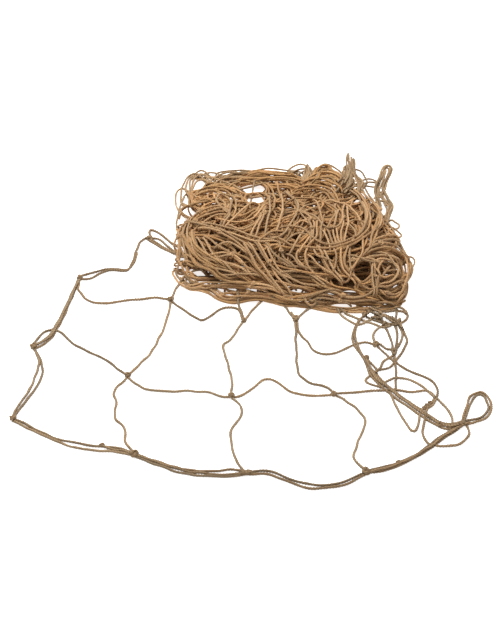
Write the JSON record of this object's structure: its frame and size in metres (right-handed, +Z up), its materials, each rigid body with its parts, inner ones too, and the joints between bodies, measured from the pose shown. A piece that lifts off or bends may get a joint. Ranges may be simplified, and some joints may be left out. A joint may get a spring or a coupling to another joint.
{
  "type": "plant support net",
  "caption": "Knotted jute trellis net for climbing plants, lying folded in a low heap with one end opened out as square meshes and a doubled border.",
  "frame": {"origin": "middle of the net's outline, on the ground that it lies on", "axes": "+Z up from the ground; +X along the heap's folds, to the right as seen from the opened end; +Y from the opened end to the heap"},
  "size_m": [0.5813, 0.6192, 0.0629],
  "materials": {
    "folded_net": "matte natural jute",
    "twine": "matte natural jute"
  },
  "bodies": {
    "root": {"folded_heap": "folded_net", "opened_meshes": "twine"}
  },
  "joints": []
}
